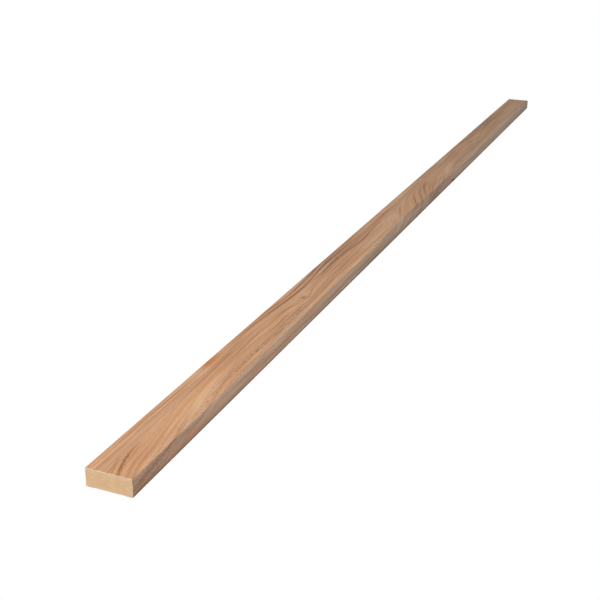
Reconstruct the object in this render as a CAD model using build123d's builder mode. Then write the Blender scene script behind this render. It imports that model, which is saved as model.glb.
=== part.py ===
"""Threshold strip: a rectangular MDF bar wrapped in wood-decor foil, laid across a doorway between the jambs.

The bar lies along X with its finished face up (+Z). The origin is on the floor, under the middle of the bar.
Three bonded pieces make it: the core, the film of hot-melt adhesive, and the foil that the film holds on.
"""

import os

from build123d import *

# The finished bar, over the foil, in millimetres
length = 2000.0
width = 50.0
thickness = 20.0
edge_radius = 0.5  # outside of the foil where it turns over a long edge

# The two wrapped layers. Each covers the top and both long sides, and laps onto the underside.
foil_thickness = 0.3
glue_thickness = 0.1
lap_width = 8.0  # from each long side inwards, which leaves the middle of the underside as bare MDF

core_depth = foil_thickness + glue_thickness  # the core's surface, below the finished one


def bar_section(depth, mode=Mode.ADD):
    """The bar's rounded cross-section, drawn everywhere `depth` inside its finished surface."""
    with Locations((0, thickness / 2)):
        RectangleRounded(width - 2 * depth, thickness - 2 * depth, edge_radius - depth, mode=mode)


def bare_underside(depth, layer_thickness):
    """Opens a layer's section between its two laps, through the layer but not into what is above it."""
    with Locations((0, depth + layer_thickness / 2)):
        Rectangle(width - 2 * lap_width, 2 * layer_thickness, mode=Mode.SUBTRACT)


# The core: one MDF bar with eased long edges, so that the foil can turn over them, sawn square at both ends
with BuildPart() as mdf_core:
    with BuildSketch(Plane.YZ) as core_section:
        bar_section(core_depth)
    extrude(amount=length / 2, both=True)
mdf_core.part.label = "mdf_core"

# The adhesive: an even film on the core, as wide as the foil that it holds
with BuildPart() as glue_film:
    with BuildSketch(Plane.YZ) as glue_section:
        bar_section(foil_thickness)
        bar_section(core_depth, mode=Mode.SUBTRACT)
        bare_underside(foil_thickness, glue_thickness)
    extrude(amount=length / 2, both=True)
glue_film.part.label = "glue_film"

# The foil: one sheet bent round the bar, sawn off with the core at both ends
with BuildPart() as decor_foil:
    with BuildSketch(Plane.YZ) as foil_section:
        bar_section(0)
        bar_section(foil_thickness, mode=Mode.SUBTRACT)
        bare_underside(0, foil_thickness)
    extrude(amount=length / 2, both=True)
decor_foil.part.label = "decor_foil"

os.makedirs("parts", exist_ok=True)
export_step(mdf_core.part, "parts/mdf_core.step")
export_step(glue_film.part, "parts/glue_film.step")
export_step(decor_foil.part, "parts/decor_foil.step")

bare_strip = width - 2 * lap_width
foil_width = width + 2 * (thickness + lap_width) - 4 * (2 - 3.14159 / 2) * edge_radius
print(f"bare MDF strip on the underside {bare_strip:.1f} mm, foil cut about {foil_width:.1f} mm wide")
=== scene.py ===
"""Looks for the threshold strip: a fibreboard bar wrapped in a printed wood decor, on a pale studio floor."""

import math
import random

import bmesh
import bpy
from mathutils import Matrix, Vector, noise


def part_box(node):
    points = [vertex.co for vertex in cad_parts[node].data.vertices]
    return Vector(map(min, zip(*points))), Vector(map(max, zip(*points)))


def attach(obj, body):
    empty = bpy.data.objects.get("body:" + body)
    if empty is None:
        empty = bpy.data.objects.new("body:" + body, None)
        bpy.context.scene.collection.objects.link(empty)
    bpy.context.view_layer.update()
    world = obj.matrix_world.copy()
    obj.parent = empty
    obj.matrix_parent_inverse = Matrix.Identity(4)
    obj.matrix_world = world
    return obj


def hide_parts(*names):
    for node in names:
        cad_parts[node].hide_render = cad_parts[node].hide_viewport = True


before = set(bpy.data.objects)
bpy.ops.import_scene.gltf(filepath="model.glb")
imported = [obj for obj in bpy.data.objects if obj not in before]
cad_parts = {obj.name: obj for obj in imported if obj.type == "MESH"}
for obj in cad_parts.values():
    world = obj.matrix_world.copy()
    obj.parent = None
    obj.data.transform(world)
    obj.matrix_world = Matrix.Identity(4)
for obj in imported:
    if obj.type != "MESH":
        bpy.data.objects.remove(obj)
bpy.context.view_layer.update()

# ----------------------------------------------------------------------------------------------------
# Sizes, in metres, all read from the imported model

MM = 0.001
foil_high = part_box("decor_foil")[1]
glue_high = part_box("glue_film")[1]
core_low, core_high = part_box("mdf_core")

half_length = foil_high.x
half_width = foil_high.y
thickness = foil_high.z
foil_thickness = foil_high.z - glue_high.z
core_depth = foil_high.z - core_high.z


def foil_corner_y(height, choose):
    """The y at which the foil's flat stretch ends, on its face at that height."""
    corners = (v.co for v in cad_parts["decor_foil"].data.vertices)
    return choose(abs(c.y) for c in corners if abs(c.z - height) < 0.01 * MM)


top_flat = foil_corner_y(thickness, max)  # from the centre line to where the foil starts to turn down
lap_end = foil_corner_y(0, min)  # from the centre line to the cut edge of the lap
edge_radius = half_width - top_flat
turn = edge_radius * math.pi / 2

# Distances round the finished surface, from the middle of the top
side_start = top_flat + turn
side_end = side_start + thickness - 2 * edge_radius
half_sheet = side_end + turn + top_flat - lap_end


def section_point(run, depth):
    """The section's outline, as (y, z): `run` is measured round the finished surface from the middle of the
    top, positive towards -Y, and the point is `depth` inside that surface."""
    distance = abs(run)
    radius = edge_radius - depth
    if distance <= top_flat:
        y, z = distance, thickness - depth
    elif distance <= side_start:
        angle = (distance - top_flat) / edge_radius
        y, z = top_flat + radius * math.sin(angle), thickness - edge_radius + radius * math.cos(angle)
    elif distance <= side_end:
        y, z = half_width - depth, thickness - edge_radius - (distance - side_start)
    elif distance <= side_end + turn:
        angle = (distance - side_end) / edge_radius
        y, z = top_flat + radius * math.cos(angle), edge_radius - radius * math.sin(angle)
    else:
        y, z = top_flat - (distance - side_end - turn), depth
    return -math.copysign(y, run), z


def steps(start, end, longest):
    """Evenly spaced numbers from start up to end, no further apart than `longest`."""
    count = max(1, math.ceil((end - start) / longest - 1e-9))  # rounding errors add no step
    return [start + (end - start) * i / count for i in range(count + 1)]


def joined(*stretches):
    """Several runs of numbers as one, without the number that two neighbours share."""
    return stretches[0] + [number for stretch in stretches[1:] for number in stretch[1:]]


def new_object(name, data):
    """An object that holds this data, in the scene."""
    thing = bpy.data.objects.new(name, data)
    bpy.context.scene.collection.objects.link(thing)
    return thing


# ----------------------------------------------------------------------------------------------------
# Meshes: each piece is a patchwork of grids, which are welded along their borders


class Patchwork:
    """A mesh made of grids. Each grid has its own place on the piece's flat map."""

    def __init__(self):
        self.points, self.faces, self.sheet, self.map, self.materials = [], [], [], [], []

    def add(self, grid, box, material=0, sheet=None):
        """grid is rows of points. box is (left, bottom, right, top) on the flat map, where the rows run
        upwards. sheet(i, j), if given, is where a grid point lies on the unbent sheet."""
        first, rows, columns = len(self.points), len(grid), len(grid[0])
        left, bottom, right, top = box
        across = self.shares([row[columns // 2] for row in grid])
        along = self.shares(grid[rows // 2])
        self.points += [point for row in grid for point in row]
        for i in range(rows - 1):
            for j in range(columns - 1):
                corners = ((i, j), (i, j + 1), (i + 1, j + 1), (i + 1, j))
                self.faces.append([first + a * columns + b for a, b in corners])
                self.map += [(left + (right - left) * along[b], bottom + (top - bottom) * across[a])
                             for a, b in corners]
                self.sheet += [sheet(a, b) if sheet else (0.0, 0.0) for a, b in corners]
                self.materials.append(material)

    @staticmethod
    def shares(line):
        """How far along the line each of its points lies, from 0 to 1."""
        reach = [0.0]
        for a, b in zip(line, line[1:]):
            reach.append(reach[-1] + (Vector(b) - Vector(a)).length)
        return [r / (reach[-1] or 1.0) for r in reach]

    def build(self, name, materials, replaced, sharp_angle):
        """Welds the grids into one piece, which takes the place of the CAD node `replaced`. Where its faces
        meet at more than sharp_angle, in degrees, the edge is sharp."""
        mesh = bpy.data.meshes.new(name)
        mesh.from_pydata(self.points, [], self.faces)
        for layer_name, corners in (("sheet", self.sheet), ("OFBake", self.map)):
            layer = mesh.uv_layers.new(name=layer_name)
            layer.data.foreach_set("uv", [number for corner in corners for number in corner])
        mesh.polygons.foreach_set("material_index", self.materials)
        welded = bmesh.new()
        welded.from_mesh(mesh)
        bmesh.ops.remove_doubles(welded, verts=welded.verts, dist=0.001 * MM)
        bmesh.ops.recalc_face_normals(welded, faces=welded.faces)
        welded.to_mesh(mesh)
        welded.free()
        mesh.shade_smooth()
        mesh.set_sharp_from_angle(angle=math.radians(sharp_angle))
        for material in materials:
            mesh.materials.append(material)
        piece = new_object(name, mesh)
        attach(piece, "root")
        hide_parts(replaced)


map_margin = 0.004
quarters = 4  # the bar's length is laid out on the flat map in this many rows
quarter_length = 2 * half_length / quarters
map_scale = (1 - 2 * map_margin) / quarter_length


def map_row(bottom, height):
    """A box on the flat map, as wide as the map."""
    return map_margin, bottom, 1 - map_margin, bottom + height


def quarter_boxes(width, bottom):
    """A box on the flat map for each quarter of a long strip of this width, one above the other."""
    height = width * map_scale
    return [map_row(bottom + i * (height + map_margin), height) for i in range(quarters)]


def quarter_stations(longest, end_steps):
    """The places along the bar where a piece has points, one list for each quarter. end_steps are the
    distances of the first ones from a sawn end."""
    near = [-half_length + step for step in end_steps]
    far = [-x for x in reversed(near)]
    cuts = [-half_length + quarter_length * i for i in range(quarters + 1)]
    lists = [steps(a, b, longest) for a, b in zip(cuts, cuts[1:])]
    lists[0] = joined(near, steps(near[-1], cuts[1], longest))
    lists[-1] = joined(steps(cuts[-2], far[0], longest), far)
    return lists


# The foil


def chip_line(rng, runs):
    """How far the saw has torn the print back from a sawn end, at each place round the section: a ragged line
    with chips in it, of which more are small than wide."""
    chips, widest, deepest = 46, 3.2 * MM, 0.62 * MM
    torn = [rng.uniform(0.02, 0.07) * MM for _ in runs]
    for _ in range(chips):
        centre = rng.uniform(runs[0], runs[-1])
        size = rng.uniform(0.25, 1.0) ** 2
        half_chip = size * widest / 2
        depth = rng.uniform(0.2, 1.0) * deepest * (0.4 + 0.6 * size)
        for i, run in enumerate(runs):
            share = 1 - abs(run - centre) / half_chip
            if share > 0:
                torn[i] = max(torn[i], depth * share ** 0.5 * rng.uniform(0.75, 1.0))
    return torn


def build_foil(print_material, base_material):
    """The wrapped foil: a bent sheet with its real thickness, and torn a little along both sawn ends."""
    rng = random.Random(11)
    borders = (0, top_flat, side_start, side_end, side_end + turn, half_sheet)
    spacing = (0.5 * MM, 0.27 * MM, 0.5 * MM, 0.27 * MM, 0.7 * MM)  # of the points between two borders
    half_runs = joined(*(steps(a, b, s) for a, b, s in zip(borders, borders[1:], spacing)))
    runs = [-run for run in reversed(half_runs)][:-1] + half_runs
    tear_reach = 2.5 * MM  # the printed face's points are moved for the tear up to this distance from an end
    end_steps = [0, 0.45 * MM, 1.0 * MM, tear_reach, 6 * MM, 14 * MM]
    stations = quarter_stations(30 * MM, end_steps)
    torn_near = chip_line(rng, runs)
    torn_far = chip_line(rng, runs)

    def surface(x, j, depth):
        """A point on the sheet's printed face (depth 0) or on its glued face."""
        y, z = section_point(runs[j], depth)
        if depth == 0:
            from_near, from_far = x + half_length, half_length - x
            if from_near < tear_reach:
                x += torn_near[j] * (1 - from_near / tear_reach) ** 3
            if from_far < tear_reach:
                x -= torn_far[j] * (1 - from_far / tear_reach) ** 3
        return x, y, z

    columns = range(len(runs))
    faces = (0, foil_thickness)
    all_xs = joined(*stations)
    foil = Patchwork()
    boxes = quarter_boxes(2 * half_sheet, map_margin)
    for xs, box in zip(stations, boxes):
        grid = [[surface(x, j, 0) for x in xs] for j in columns]
        foil.add(grid, box, sheet=lambda i, j, xs=xs: (xs[j] + half_length, runs[i]))

    # The unprinted rest: the glued face, the two sawn ends, and the cut edges of the two laps
    rest = [[[surface(x, j, foil_thickness) for x in all_xs] for j in columns]]
    rest += [[[surface(x, j, depth) for j in columns] for depth in faces] for x in (all_xs[0], all_xs[-1])]
    rest += [[[surface(x, j, depth) for x in all_xs] for depth in faces] for j in (0, len(runs) - 1)]
    shelf = boxes[-1][3] + map_margin
    strip = (1 - shelf) / len(rest) - map_margin
    for i, grid in enumerate(rest):
        foil.add(grid, map_row(shelf + i * (strip + map_margin), strip), material=1)
    foil.build("decor_foil_wrap", [print_material, base_material], "decor_foil", sharp_angle=50)


# The core


def saw_relief(y, z, seed):
    """How far a point of a sawn end lies inside the bar: arcs from the blade's teeth, and torn fibres."""
    blade = Vector((0.09, -0.16))  # the blade's centre, seen from the end
    tooth_pitch = 1.7 * MM
    arc_depth, fibre_depth, tuft_depth = 0.012 * MM, 0.014 * MM, 0.012 * MM
    distance = (Vector((y, z)) - blade).length
    arcs = 0.5 + 0.5 * math.sin(2 * math.pi * distance / tooth_pitch)
    fibre = noise.noise(Vector((y * 900, z * 2300, seed)))
    tuft = noise.noise(Vector((y * 260, z * 420, seed + 5)))
    return arc_depth * arcs + fibre_depth * (1 + fibre) + tuft_depth * (1 + tuft)


def build_core(material):
    """The fibreboard bar. Its sawn ends are fine grids, so that they carry the saw's marks."""
    inner_radius = edge_radius - core_depth
    flat_y, low_z, high_z = top_flat, core_depth + inner_radius, thickness - core_depth - inner_radius
    corner_step, flat_step = 0.2 * MM, 0.4 * MM
    ys = joined(steps(-core_high.y, -flat_y, corner_step), steps(-flat_y, flat_y, flat_step),
                steps(flat_y, core_high.y, corner_step))
    zs = joined(steps(core_low.z, low_z, corner_step), steps(low_z, high_z, flat_step),
                steps(high_z, core_high.z, corner_step))

    def rounded(y, z):
        """Moves a point of the square-cornered end into the one with rounded corners."""
        out_y = max(0.0, abs(y) - flat_y) / inner_radius
        out_z = max(0.0, z - high_z, low_z - z) / inner_radius
        if out_y == 0 or out_z == 0:
            return y, z
        edge_z = high_z if z > high_z else low_z
        new_y = math.copysign(flat_y + inner_radius * out_y * math.sqrt(1 - out_z ** 2 / 2), y)
        new_z = edge_z + math.copysign(inner_radius * out_z * math.sqrt(1 - out_y ** 2 / 2), z - edge_z)
        return new_y, new_z

    def end_point(side, y, z):
        """A point of the sawn end on that side, -1 or 1."""
        y, z = rounded(y, z)
        return side * (half_length - saw_relief(y, z, 10 * side)), y, z

    def long_grid(xs, ring):
        """A strip along the bar through these points of its section. At the ends it meets the saw's marks."""
        return [[end_point(math.copysign(1, x), y, z) if abs(x) == half_length else (x, *rounded(y, z))
                 for x in xs] for y, z in ring]

    core = Patchwork()
    scale = (0.5 - 1.5 * map_margin) / (2 * core_high.y)
    end_height = (core_high.z - core_low.z) * scale
    for side, left in ((-1, map_margin), (1, 0.5 + map_margin / 2)):
        grid = [[end_point(side, y, z) for y in ys] for z in zs]
        core.add(grid, (left, map_margin, left + 2 * core_high.y * scale, map_margin + end_height))
    stations = quarter_stations(60 * MM, [0, 1 * MM, 5 * MM])
    boxes = quarter_boxes(2 * core_high.y, 2 * map_margin + end_height)
    for xs, box in zip(stations, boxes):
        core.add(long_grid(xs, [(y, core_low.z) for y in ys]), box)

    # What the foil hides: the top and the two long sides
    hidden = [[(y, core_high.z) for y in ys]]
    hidden += [[(side_y, z) for z in zs] for side_y in (core_low.y, core_high.y)]
    shelf = boxes[-1][3] + map_margin
    strip = (1 - shelf) / len(hidden) - map_margin
    for i, ring in enumerate(hidden):
        core.add(long_grid(joined(*stations), ring), map_row(shelf + i * (strip + map_margin), strip))
    core.build("fibreboard_core", [material], "mdf_core", sharp_angle=40)


# ----------------------------------------------------------------------------------------------------
# Materials: patterns written as arithmetic on node sockets


class Field:
    """A number that varies over a surface. It wraps a node's socket, so a pattern is ordinary arithmetic."""

    def __init__(self, socket):
        self.socket = socket

    def math(self, operation, *operands):
        """What a math node makes of this number and the operands, which are fields or plain numbers."""
        node = self.socket.id_data.nodes.new("ShaderNodeMath")
        node.operation = operation
        for slot, operand in zip(node.inputs, (self, *operands)):
            plug(operand, slot)
        return Field(node.outputs[0])

    def __add__(self, other):
        return self.math("ADD", other)

    def __sub__(self, other):
        return self.math("SUBTRACT", other)

    def __mul__(self, other):
        return self.math("MULTIPLY", other)

    def __truediv__(self, other):
        return self.math("DIVIDE", other)

    def wrapped(self, period):
        """Brought into the one period that is centred on zero."""
        return self.math("WRAP", period / 2, -period / 2)

    def held(self, low, high):
        """Kept from going below low or above high."""
        return self.math("MAXIMUM", low).math("MINIMUM", high)

    def smooth(self, start, end, low=0.0, high=1.0):
        """Goes smoothly from low to high while this number goes from start to end."""
        node = self.socket.id_data.nodes.new("ShaderNodeMapRange")
        node.interpolation_type = "SMOOTHSTEP"
        for slot, operand in zip(node.inputs, (self, start, end, low, high)):
            plug(operand, slot)
        return Field(node.outputs["Result"])

    def between(self, start, full, ebb, end):
        """Rises smoothly from 0 to 1 while this number goes from start to full, and falls from ebb to end."""
        return self.smooth(start, full) * self.smooth(ebb, end, 1.0, 0.0)

    def hump(self, width):
        """1 where this number is zero, falling to nothing at about twice the width."""
        scaled = self / width
        return (scaled * scaled * -1.0).math("EXPONENT")


def plug(operand, slot):
    """Sets an input to a plain value, or links it to a field's or a node's socket."""
    if isinstance(operand, Field):
        operand = operand.socket
    if isinstance(operand, bpy.types.NodeSocket):
        slot.id_data.links.new(operand, slot)
    else:
        slot.default_value = operand


def vector(x, y, z):
    """Three fields as a vector's socket."""
    node = x.socket.id_data.nodes.new("ShaderNodeCombineXYZ")
    for slot, operand in zip(node.inputs, (x, y, z)):
        plug(operand, slot)
    return node.outputs[0]


def coordinates(place):
    """The x, y and z of a vector's socket, as fields in its own unit."""
    node = place.id_data.nodes.new("ShaderNodeSeparateXYZ")
    plug(place, node.inputs[0])
    return [Field(output) for output in node.outputs]


def cloud(place, detail=2.0, roughness=0.5, scale=1.0):
    """Soft noise at a place, as a field from about -1 to 1."""
    node = place.id_data.nodes.new("ShaderNodeTexNoise")
    node.normalize = False
    plug(place, node.inputs["Vector"])
    node.inputs["Scale"].default_value = scale
    node.inputs["Detail"].default_value = detail
    node.inputs["Roughness"].default_value = roughness
    return Field(node.outputs["Fac"])


def ramp(field, stops):
    """A colour for each value of the field, blended between (value, colour) stops."""
    node = field.socket.id_data.nodes.new("ShaderNodeValToRGB")
    node.color_ramp.interpolation = "B_SPLINE" if len(stops) > 3 else "LINEAR"
    plug(field, node.inputs["Fac"])
    while len(node.color_ramp.elements) < len(stops):
        node.color_ramp.elements.new(1.0)
    for element, (value, colour) in zip(node.color_ramp.elements, stops):
        element.position = value
        element.color = (*colour, 1.0)
    return node.outputs["Color"]


def blended(tree, share, first, second, mode="MIX"):
    """Two colours mixed, or the second laid over the first."""
    node = tree.nodes.new("ShaderNodeMix")
    node.data_type = "RGBA"
    node.blend_type = mode
    plug(share, node.inputs["Factor"])
    for slot, colour in ((node.inputs[6], first), (node.inputs[7], second)):  # the two colour inputs
        plug(colour if isinstance(colour, bpy.types.NodeSocket) else (*colour, 1.0), slot)
    return node.outputs[2]  # the mixed colour


def finish_shader(tree, colour, roughness, relief, relief_depth):
    """Connects a pattern's colour, roughness and relief to the material's shader."""
    shader = tree.nodes["Principled BSDF"]
    plug(colour, shader.inputs["Base Color"])
    plug(roughness, shader.inputs["Roughness"])
    bump = tree.nodes.new("ShaderNodeBump")
    bump.inputs["Strength"].default_value = 1.0
    bump.inputs["Distance"].default_value = relief_depth
    plug(relief, bump.inputs["Height"])
    plug(bump.outputs["Normal"], shader.inputs["Normal"])


def new_material(name):
    """A material and its node tree."""
    material = bpy.data.materials.new(name)
    material.use_nodes = True
    return material, material.node_tree


def linear(*screen):
    """A colour given as on a screen, 0 to 255, as the light it stands for: the sRGB curve, with its straight
    part for the darkest colours."""
    return tuple(c / 255 / 12.92 if c <= 10 else ((c / 255 + 0.055) / 1.055) ** 2.4 for c in screen)


# ----------------------------------------------------------------------------------------------------
# The wood decor. Distances are in millimetres: `along` the bar from its -X end, and `across` the sheet from
# the top's +Y edge, so that the top is 0 to 50 and the -Y side is 50 to 70.

decor_slant = 0.0012  # how far the print runs out of line with the bar, per millimetre
decor_repeat = 1043.0  # the print cylinder's circumference: the figure comes again after this length
knot_along, knot_across = 470.0, 28.5

# The arched grain lines cross the print on an S-curve, all of them between these two places across it.
arch_low, arch_high = 11.0, 82.0
arch_length = 46.0  # how drawn out the S-curve is
arch_pitch = 0.3  # how much the level of the arched lines changes per millimetre along
arch_thinning = 0.45  # on the +X side of the print's start, the change is this share of that

# Places of the print, each as (along, across, length, width, strength). The strength is added to the tone, so
# that below zero is darker. straight_lines follow the straight grain, and arch_outlines the arched grain.
broad_places = (
    (35, 24.0, 32, 4.0, -0.07),
    (95, 21.0, 45, 1.8, -0.04),
    (250, 15.5, 60, 3.0, -0.04),
    (305, 12.5, 22, 3.0, -0.06),
    (280, 23.5, 90, 2.5, -0.03),
    (415, 21.0, 40, 4.0, -0.06),
    (590, 10.0, 90, 5.0, -0.02),
    (740, 14.0, 90, 4.5, -0.04),
    (865, 13.5, 70, 2.8, -0.07),
    (1000, 10.5, 80, 1.8, -0.05),
    (700, 42.5, 110, 2.0, -0.03),
    (75, 42.5, 40, 5.0, -0.06),
    (335, 42.0, 50, 3.5, -0.08),
    (450, 2.5, 40, 2.5, -0.07),
    (832, 18.5, 22, 2.0, -0.07),
    (660, 38.5, 70, 3.0, -0.09),
    (20, 57.0, 55, 9.0, -0.06),
    (110, 54.0, 50, 4.5, -0.11),
    (930, 53.0, 60, 4.5, -0.09),
    (660, 3.6, 45, 1.0, -0.18),
    (640, 13.6, 50, 1.0, -0.12),
    (600, 6.0, 40, 1.0, -0.14),
    (430, 28.5, 22, 2.8, 0.05),
    (462, 36.0, 14, 2.2, 0.07),
    (860, 8.0, 80, 1.4, 0.09),
    (600, 47.5, 110, 3.0, 0.05),
    (335, 47.6, 100, 1.4, 0.09),
    (850, 31.0, 42, 8.0, 0.08),
    (190, 33.0, 90, 4.0, 0.02),
    (150, 23.0, 70, 4.0, 0.06),
    (620, 12.5, 60, 3.0, 0.08),
    (485, 24.0, 12, 5.0, 0.06),
    (470, 25.0, 90, 12.0, 0.03),
)
straight_lines = (
    (120, 5.2, 60, 0.9, -0.16),
    (90, 10.7, 110, 1.2, -0.20),
    (100, 17.6, 130, 0.6, -0.10),
    (340, 4.2, 50, 1.0, -0.20),
    (290, 24.5, 100, 0.7, -0.12),
    (420, 37.0, 90, 0.9, -0.14),
    (570, 38.5, 90, 1.0, -0.17),
    (560, 20.5, 60, 1.0, -0.19),
    (600, 26.5, 90, 1.0, -0.19),
    (590, 34.5, 80, 1.0, -0.18),
    (640, 30.5, 90, 0.6, -0.08),
    (250, 57.0, 60, 0.9, -0.10),
    (620, 60.0, 110, 1.0, -0.14),
    (480, 61.0, 160, 1.0, -0.10),
    (560, 55.0, 160, 0.7, -0.08),
)
arch_outlines = (
    (75, 36.7, 70, 0.9, -0.15),
    (65, 32.3, 55, 0.6, -0.10),
    (-136, 29.5, 42, 1.1, -0.24),
    (-68, 36.0, 44, 1.2, -0.32),
    (-35, 35.5, 42, 1.1, -0.20),
    (-112, 38.0, 40, 2.5, -0.05),
)
knot = (
    (knot_along, knot_across, 5.0, 3.2, -0.20),
    (knot_along + 1, knot_across, 2.4, 1.5, -0.14),
)

# The same, where the strength is how streaky the print is, how speckled, how inked, and how cool its colour
streaky_places = (
    (640, 9.0, 90, 8.0, 0.15),
    (460, 5.0, 60, 5.0, 0.08),
)
speckled_places = (
    (600, 7, 60, 3.0, 0.4),
    (660, 12, 50, 3.0, 0.4),
    (935, 49, 40, 2.0, 0.5),
)
ink_lines = (
    (575, 1.2, 28, 1.2, 0.5),
    (680, 17.2, 45, 0.9, 0.75),
    (635, 9.3, 75, 0.9, 0.80),
    (635, 2.2, 55, 0.9, 0.60),
    (705, 4.6, 22, 1.2, 0.55),
    (355, 5.6, 18, 1.0, 0.25),
    (296, 38.8, 6, 1.0, 0.25),
    (350, 41.5, 9, 0.9, 0.25),
    (477, 33.0, 7, 0.8, 0.20),
    (900, 49.8, 30, 1.6, 0.25),
    (945, 49.6, 22, 2.2, 0.45),
)
cool_places = (
    (120, 15.5, 130, 3.2, 0.85),
    (620, 10, 100, 6, 0.5),
    (850, 31, 50, 8, 0.2),
    (90, 37, 80, 6, -0.4),
    (200, 26, 70, 4, -0.3),
    (620, 42, 150, 6, -0.2),
)


class Decor:
    """The print's coordinates, and what can be drawn in them. A grain line's level is a number that stays the
    same along it, in millimetres across it."""

    def __init__(self, along, across):
        angle = along * (2 * math.pi / decor_repeat)
        radius = decor_repeat / (2 * math.pi)
        self.circle = angle.math("COSINE") * radius, angle.math("SINE") * radius
        self.along, self.across = along, across
        self.near = self.from_place(0)
        self.meander = self.grain(across, 240, 60, seed=3.0) * 1.8  # how all grain lines wander

        # The straight lines bend towards -Y at the knot, by strengths in millimetres, and part round it.
        sag = self.marks(((500, 9, 110, 13, 7.0), (477, 32, 30, 7, 4.5)))
        swelling = self.mark(knot_along, across - knot_across, 12, 5, 0.7)
        self.straight = across + self.meander - sag - swelling * (across - knot_across)

        # The arched ones climb from the -Y edge of the top.
        inside = across.held(arch_low + 0.6, arch_high - 0.6)
        climb = ((inside - arch_low) / (inside * -1.0 + arch_high)).math("LOGARITHM", math.e) * arch_length
        spread = self.near * self.near.smooth(-20, 60, 1.0, arch_thinning)
        wobble = self.grain(across, 24, 9, seed=87.0) * self.near.smooth(-40, 0, 2.0, 0.0)
        self.arch = (spread + climb) * arch_pitch + self.meander + wobble
        self.arched = self.near.between(-280, -180, 110, 300) * across.smooth(12, 21)

        # The levels of two strong lines that bend towards the knot
        self.outer_dip = self.bent(1.6, 486, 5.5, 80)
        self.inner_dip = self.bent(5.0, 502, 9.3, 98)

    def grain(self, level, long, fine, detail=2.0, seed=0.0):
        """Noise drawn out along the grain: features about `long` by `fine` millimetres. The print repeats, so
        the noise is taken round a circle with the cylinder's circumference."""
        x, y = self.circle
        return cloud(vector(x / long, y / long, level / fine + seed), detail)

    def from_place(self, start):
        """Distance along the print from this place or from its nearest repeat."""
        return (self.along - start).wrapped(decor_repeat)

    def mark(self, at, level, length, width, strength):
        """A line if it is thin and its level follows the grain, a zone if it is broad."""
        return self.from_place(at).hump(length) * level.hump(width) * strength

    def marks(self, places, level=None):
        """Several marks added up, each given as (along, across, length, width, strength)."""
        level = level or self.across
        first, *others = (self.mark(at, level - over, *shape) for at, over, *shape in places)
        return sum(others, first)

    def bent(self, over, at, rise, reach):
        """The level of a line that runs along the print at `over` and bends away from there at one place."""
        return self.across - over - self.from_place(at).hump(reach) * rise

    def arch_through(self, at, over):
        """The level, from zero, of the arched line that passes through this point."""
        reach = at if at < 0 else at * arch_thinning
        climb = arch_length * math.log((over - arch_low) / (arch_high - over))
        return self.arch - self.meander - (reach + climb) * arch_pitch

    def figure(self, level, size, seed, fine_strength):
        """The print's tone, its short dashes and its pores, as they follow one family of grain lines. The
        figure is soft bands, `size` times as wide as in the straight grain, and fine and thin dark lines."""
        broad = self.grain(level, 400, 12 * size, seed=seed)
        bands = self.grain(level, 280, 4.4 * size, seed=seed + 7)
        fine = self.grain(level, 120, 1.3 * size, seed=seed + 13)
        crease = self.grain(level, 260, 3.4 * size, detail=1.0, seed=seed + 17).math("ABSOLUTE")
        crowd = self.grain(level, 150, 8 * size, seed=seed + 19)
        lines = crease.smooth(0.02 / size, 0.17 / size, 1.0, 0.0) * crowd.smooth(-0.2, 0.4)
        tone = broad * 0.07 + bands * 0.10 + fine * fine_strength - lines * 0.15
        rows = self.grain(level, 16, 2.2, detail=1.0, seed=seed + 31).smooth(-0.35, 0.2, 0.35, 1.0)
        dashes = self.grain(level, 2.3, 0.6, seed=seed + 23).smooth(-0.05, 0.3) * rows
        pores = self.grain(level, 8.0, 0.42, detail=1.0, seed=seed + 29).smooth(0.25, 0.55)
        return tone, dashes, pores


def whole_figure(decor):
    """The print's tone, its dashes and its pores: the straight figure, or the arched one where that runs."""
    tone, *texture = decor.figure(decor.straight, 1.0, 0.0, 0.15)
    arch_tone, *arch_texture = decor.figure(decor.arch, 1.8, 50.0, 0.08)
    fading = decor.mark(880, decor.across - 31.0, 60, 12, -0.75)  # the arches are faint in one place
    pairs = zip((tone, *texture), (arch_tone * (fading + 1.0), *arch_texture))
    return [plain + (arch - plain) * decor.arched for plain, arch in pairs]


def drawn_lines(decor):
    """The tone of the lines that stand out from the figure, one by one."""
    lines = (
        decor.mark(470, decor.inner_dip, 130, 1.2, -0.32)
        + decor.mark(455, decor.outer_dip, 85, 1.2, -0.28)
        + decor.mark(725, decor.bent(18.3, 728, 4.4, 52), 90, 1.4, -0.32)
        + decor.mark(520, decor.bent(41.0, 478, 1.8, 40), 110, 0.9, -0.18)
        + decor.mark(270, decor.across - decor.near.smooth(290, 430, 26.2, 35.0), 110, 0.7, -0.12)
        + decor.mark(425, decor.bent(18.5, 472, 14.0, 50), 32, 1.0, -0.18)
        + decor.mark(500, decor.bent(26.3, 468, 8.0, 27), 40, 1.1, -0.22)
        + decor.marks(straight_lines, decor.straight)
    )
    for at, over, *shape in arch_outlines:
        lines = lines + decor.mark(at, decor.arch_through(at, over), *shape) * decor.arched
    return lines


def strong_veins(decor, dashes):
    """The strongest vein, which sweeps down from the arches, and the shorter one that runs above it. Both are
    ragged, as the dashes push them aside."""
    drop = (((decor.near + 2.0) / 20.0).math("EXPONENT") + 1.0).math("POWER", -1.0) * 30.0  # an S-curve
    sweep = decor.across - 20.5 - drop
    sweep = sweep + dashes * 1.1 + decor.grain(decor.across, 3.0, 1.5, seed=89.0) - 0.4
    vein = sweep.hump(decor.near.smooth(10, 60, 1.5, 1.0)) * decor.near.between(-40, -10, 30, 90)
    above = (sweep + 6.5).hump(1.0) * decor.near.between(-30, -5, 10, 40) * 0.6
    return vein, above


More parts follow.
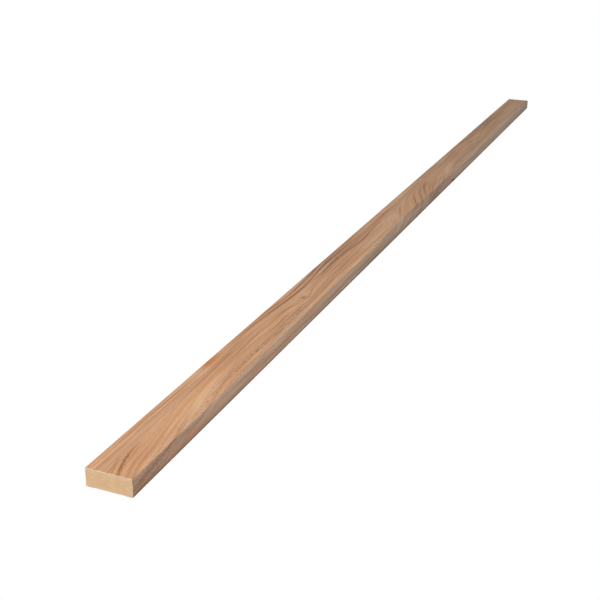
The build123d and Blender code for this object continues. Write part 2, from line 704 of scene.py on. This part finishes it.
def side_bands(decor):
    """A dark band that crosses the side on a slant, and the pale one below it."""
    slanting = decor.across + decor.near * 0.119 - 66.5
    dark = slanting.smooth(1.0, 6.5, 1.0, 0.0) * decor.near.between(-40, -5, 80, 150)
    dark = dark * decor.across.smooth(49.0, 52.0)
    dark = dark * decor.grain(slanting, 45, 1.0, seed=83.0).smooth(-0.4, 0.2, 1.0, 0.4)
    pale = (slanting - 9.5).hump(4.0) * decor.near.between(30, 70, 150, 220)
    return dark, pale


def speckles(decor, dark_band):
    """Where the print is full of short dashes: a band that comes onto the top over its -Y edge, the side's
    dark band, and a few places more."""
    middle = decor.near.smooth(55, 250, 49.3, 40.0) + decor.near.smooth(312, 355, 0.0, 2.0)
    band = (decor.across - middle).hump(2.6) * decor.near.between(90, 160, 425, 450)
    return band + dark_band * 0.5 + decor.marks(speckled_places)


def dark_ink(decor, dashes, speckled, dark_band, vein):
    """How much of a darker, greyer ink is printed over the figure."""
    ink = (
        decor.mark(520, decor.inner_dip, 80, 1.1, 0.35)
        + decor.mark(520, decor.outer_dip, 48, 1.3, 0.5)
        + decor.mark(595, decor.bent(15.9, 555, 2.4, 45), 50, 1.1, 1.15)
        + dashes * speckled * decor.near.smooth(200, 290, 0.1, 0.24)
        + dark_band * 0.28
        + vein * decor.near.between(0, 15, 30, 50) * 0.25
        + decor.marks(ink_lines)
        + decor.mark(-25, decor.arch - decor.meander + 21.0, 40, 1.0, 0.45) * decor.arched
        + decor.mark(-50, decor.arch - decor.meander + 17.5, 34, 1.0, 0.30) * decor.arched
    )
    return ink * (dashes * 0.9 + 0.75)


def marks_and_painted_light(tree, wood, along, across, on_side):
    """Marks which don't repeat with the print: painted light on the edge between top and side and along the
    side's bottom edge, an orange stain, a darker stretch of the side and a dark spot. across is measured on
    the bar, not on the print.
    """
    # Painted reflection on the edge between top and side: a grey line, and further on a pale painted
    # highlight.
    grey_edge_reflection = (across - 49.3).hump(1.2) * along.between(640, 740, 1150, 1280) * 0.6
    wood = blended(tree, grey_edge_reflection, wood, linear(150, 134, 122))
    pale_edge_highlight = (across - 49.0).hump(1.5) * along.smooth(1150, 1350, 0.0, 0.5)
    wood = blended(tree, pale_edge_highlight, wood, linear(196, 188, 184))

    # An orange stain lies on the top's +Y edge.
    spread = across.hump(6.0) * 0.65 + across.hump(16.0) * 0.32
    stain = (along - 245).hump(22) * along.smooth(220, 236) * spread
    wood = blended(tree, stain, wood, linear(186, 112, 52))

    # Painted shadow along the side's bottom edge, where it meets the floor. One stretch of the side is darker
    # too, more so towards its bottom, and near the bottom edge there is a dark spot.
    stretch = (along - 730).hump(220) * across.smooth(49.5, 66, 0.13, 0.26) * on_side
    bottom_shade_and_stretch = (across - 69.5).hump(2.6) * 0.4 + stretch
    wood = blended(tree, bottom_shade_and_stretch, wood, linear(104, 72, 46))
    dark_spot = (along - 1202 - (across - 68) * 4).hump(8.5) * across.smooth(62.5, 66)
    return blended(tree, dark_spot, wood, linear(26, 18, 10))


def decor_material():
    """The printed foil. The print's tone is one number: 0 is its middle brown, and less is darker."""
    material, tree = new_material("wood_decor_print")
    sheet = tree.nodes.new("ShaderNodeUVMap")
    sheet.uv_map = "sheet"
    sheet_x, sheet_y, _ = coordinates(sheet.outputs["UV"])
    along = sheet_x / MM
    bar_across = sheet_y / MM + half_width / MM
    on_side = bar_across.smooth(49.5, 50.5)
    decor = Decor(along, bar_across + along * decor_slant)

    tone, dashes, pores = whole_figure(decor)
    tone = tone + decor.marks(broad_places + knot) + drawn_lines(decor)
    streaks = decor.grain(decor.straight, 160, 1.7, seed=91.0).smooth(0.0, 0.35)
    tone = tone - streaks * decor.marks(streaky_places)
    painted_low_shade = (decor.across - 60.0).held(-10.0, 10.0) * on_side  # painted shade: the side gets darker downwards, towards the floor
    tone = tone - painted_low_shade * 0.008
    vein, above = strong_veins(decor, dashes)
    dark_band, pale_band = side_bands(decor)
    speckled = speckles(decor, dark_band)
    tone = tone - (vein + above) * 0.26 - dark_band * 0.08 + pale_band * 0.05
    tone = tone - dashes * (speckled * 0.33 + 0.04) + speckled * 0.01 - pores * 0.08

    # The side has more contrast than the top. The far end has less, as painted sheen: it stands in for the
    # gloss that washes the print out at a grazing view.
    tone = tone * (on_side * 0.25 + 1.0) * along.smooth(1200, 1600, 1.0, 0.75)

    wood = ramp(tone + 0.60, (
        (0.0, linear(116, 54, 32)),
        (0.3, linear(162, 106, 73)),
        (0.6, linear(204, 162, 128)),
        (0.8, linear(230, 198, 165)),
        (1.0, linear(244, 222, 196)),
    ))
    ink = dark_ink(decor, dashes, speckled, dark_band, vein)
    wood = blended(tree, ink, wood, (0.2, 0.2, 0.21), mode="MULTIPLY")
    coolness = decor.grain(decor.across, 170, 5, seed=71.0) * 0.7 + 0.5 + speckled * 0.15 + dark_band * 0.3
    coolness = coolness + decor.marks(cool_places) + (decor.across - 55.0).hump(6.0) * on_side * 0.35
    warm, cool = (1.045, 1.0, 0.93), (0.955, 1.0, 1.07)
    wood = blended(tree, 1.0, wood, blended(tree, coolness.smooth(0.0, 1.0), warm, cool), mode="MULTIPLY")
    wood = marks_and_painted_light(tree, wood, along, bar_across, on_side)

    roughness = pores * 0.15 + 0.44 + decor.grain(decor.across, 200, 6, seed=41.0) * 0.03
    finish_shader(tree, wood, roughness, tone * 0.25 - pores, 0.03 * MM)
    return material


# ----------------------------------------------------------------------------------------------------
# The other materials


def foil_base_material():
    """The foil's unprinted base, seen where it is cut or torn."""
    material, tree = new_material("foil_base")
    spot = tree.nodes.new("ShaderNodeTexCoord").outputs["Object"]
    patches = cloud(spot, detail=3.0, scale=900.0)
    colour = ramp(patches * 0.5 + 0.5, ((0.2, linear(206, 188, 170)), (0.8, linear(236, 226, 214))))
    finish_shader(tree, colour, patches * 0.06 + 0.6, cloud(spot, scale=4000.0), 0.02 * MM)
    return material


def glue_material():
    """Hot melt: cream, and a little shiny."""
    material, tree = new_material("hot_melt")
    spot = tree.nodes.new("ShaderNodeTexCoord").outputs["Object"]
    streaks = cloud(spot, scale=600.0)
    colour = ramp(streaks * 0.5 + 0.5, ((0.2, linear(206, 178, 136)), (0.8, linear(228, 208, 172))))
    finish_shader(tree, colour, streaks * 0.05 + 0.4, streaks, 0.02 * MM)
    return material


def board_material():
    """Medium density fibreboard, sawn at the ends and sanded underneath. It is paler towards its faces."""
    material, tree = new_material("fibreboard")
    spot = tree.nodes.new("ShaderNodeTexCoord").outputs["Object"]
    x, y, z = (number / MM for number in coordinates(spot))
    flakes = cloud(vector(x / 1.6, y / 1.6, z / 0.5), detail=3.0, roughness=0.6)
    fibres = cloud(vector(x / 0.5, y / 0.6, z / 0.14))
    blotches = cloud(vector(x / 9, y / 7, z / 3))
    specks = cloud(vector(x / 0.55, y / 0.7, z / 0.25 + 40.0), detail=1.0).smooth(0.42, 0.6)
    tone = flakes * 0.16 + fibres * 0.12 + blotches * 0.12 + 0.5
    board = ramp(tone, (
        (0.15, linear(186, 153, 117)),
        (0.5, linear(207, 176, 140)),
        (0.85, linear(222, 196, 163)),
    ))
    middle = (core_low.z + core_high.z) / 2 / MM
    faces = (z - middle).math("ABSOLUTE").smooth(4.5, 8.8, 0.0, 0.5)
    board = blended(tree, faces, board, linear(208, 184, 160))
    board = blended(tree, specks * 0.45, board, linear(138, 98, 64))
    finish_shader(tree, board, flakes * 0.04 + 0.82, fibres * 0.6 + flakes * 0.4, 0.03 * MM)
    return material


# ----------------------------------------------------------------------------------------------------
# The pieces

build_foil(decor_material(), foil_base_material())
build_core(board_material())
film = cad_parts["glue_film"]
film.data.materials.clear()
film.data.materials.append(glue_material())

# ----------------------------------------------------------------------------------------------------
# The studio


def make_camera():
    """The camera stands low beyond the -X end and looks along the bar, a little from the -Y side."""
    place = Vector((-1.6565, -0.4461, 0.5104))
    forward = Vector((0.86027, 0.34238, -0.37776)).normalized()
    right = Vector((0.37634, -0.92631, 0.01749)).normalized()
    up = right.cross(forward)
    turned = Matrix((right, up, -forward)).transposed().to_4x4()
    lens = bpy.data.cameras.new("camera")
    lens.sensor_width = 36.0
    lens.lens = 59.47
    camera = new_object("camera", lens)
    camera.matrix_world = Matrix.Translation(place) @ turned
    bpy.context.scene.camera = camera


def make_floor():
    """A plain pale floor. The camera sees it lit through from below, as a light table is, with no shadow."""
    reach = 12.0
    mesh = bpy.data.meshes.new("floor")
    corners = [(-reach, -reach, 0), (reach, -reach, 0), (reach, reach, 0), (-reach, reach, 0)]
    mesh.from_pydata(corners, [], [(0, 1, 2, 3)])
    material, tree = new_material("pale_floor")
    shader = tree.nodes["Principled BSDF"]
    shader.inputs["Roughness"].default_value = 0.9
    seen = tree.nodes.new("ShaderNodeLightPath").outputs["Is Camera Ray"]
    plug(blended(tree, seen, (0.35, 0.35, 0.35), (0.0, 0.0, 0.0)), shader.inputs["Base Color"])
    shader.inputs["Specular IOR Level"].default_value = 0.0
    shader.inputs["Emission Color"].default_value = (1.0, 1.0, 1.0, 1.0)
    plug(seen, shader.inputs["Emission Strength"])
    mesh.materials.append(material)
    floor = new_object("floor", mesh)


def make_light(name, place, aim, size, power, colour, height=None):
    """A disc of light, or a strip if its height is given, in metres and watts."""
    lamp = bpy.data.lights.new(name, "AREA")
    lamp.shape = "DISK" if height is None else "RECTANGLE"
    lamp.size = size
    lamp.size_y = height or size
    lamp.energy = power
    lamp.color = colour
    light = new_object(name, lamp)
    light.location = place
    light.rotation_euler = (Vector(aim) - Vector(place)).to_track_quat("-Z", "Y").to_euler()


def make_world():
    """White to the camera, and a dim warm grey to what it lights."""
    world = bpy.data.worlds.new("studio")
    world.use_nodes = True
    tree = world.node_tree
    seen = tree.nodes.new("ShaderNodeLightPath").outputs["Is Camera Ray"]
    plug(blended(tree, seen, (0.35, 0.32, 0.29), (1.0, 1.0, 1.0)), tree.nodes["Background"].inputs["Color"])
    bpy.context.scene.world = world


make_camera()
make_floor()
make_world()
make_light("key", (-1.75, 0.5, 1.6), (-0.85, 0.0, 0.0), 1.0, 25.7, (1.0, 0.879, 0.682))
# A strip just above the floor, so that it lights the sawn end but puts no glare on the top
make_light("end_fill", (-2.6, 0.1, 0.03), (-1.0, 0.0, 0.012), 1.2, 10.2, (1.0, 1.0, 1.0), height=0.05)
make_light("near_side_fill", (-1.55, -1.8, 0.9), (-0.75, 0.0, 0.0), 1.2, 11.4, (1.0, 0.83, 0.95))
make_light("side_fill", (0.2, -2.6, 1.2), (0.1, 0.0, 0.0), 2.0, 36.0, (0.49, 0.8, 1.0))
bpy.context.scene.view_settings.view_transform = "Standard"
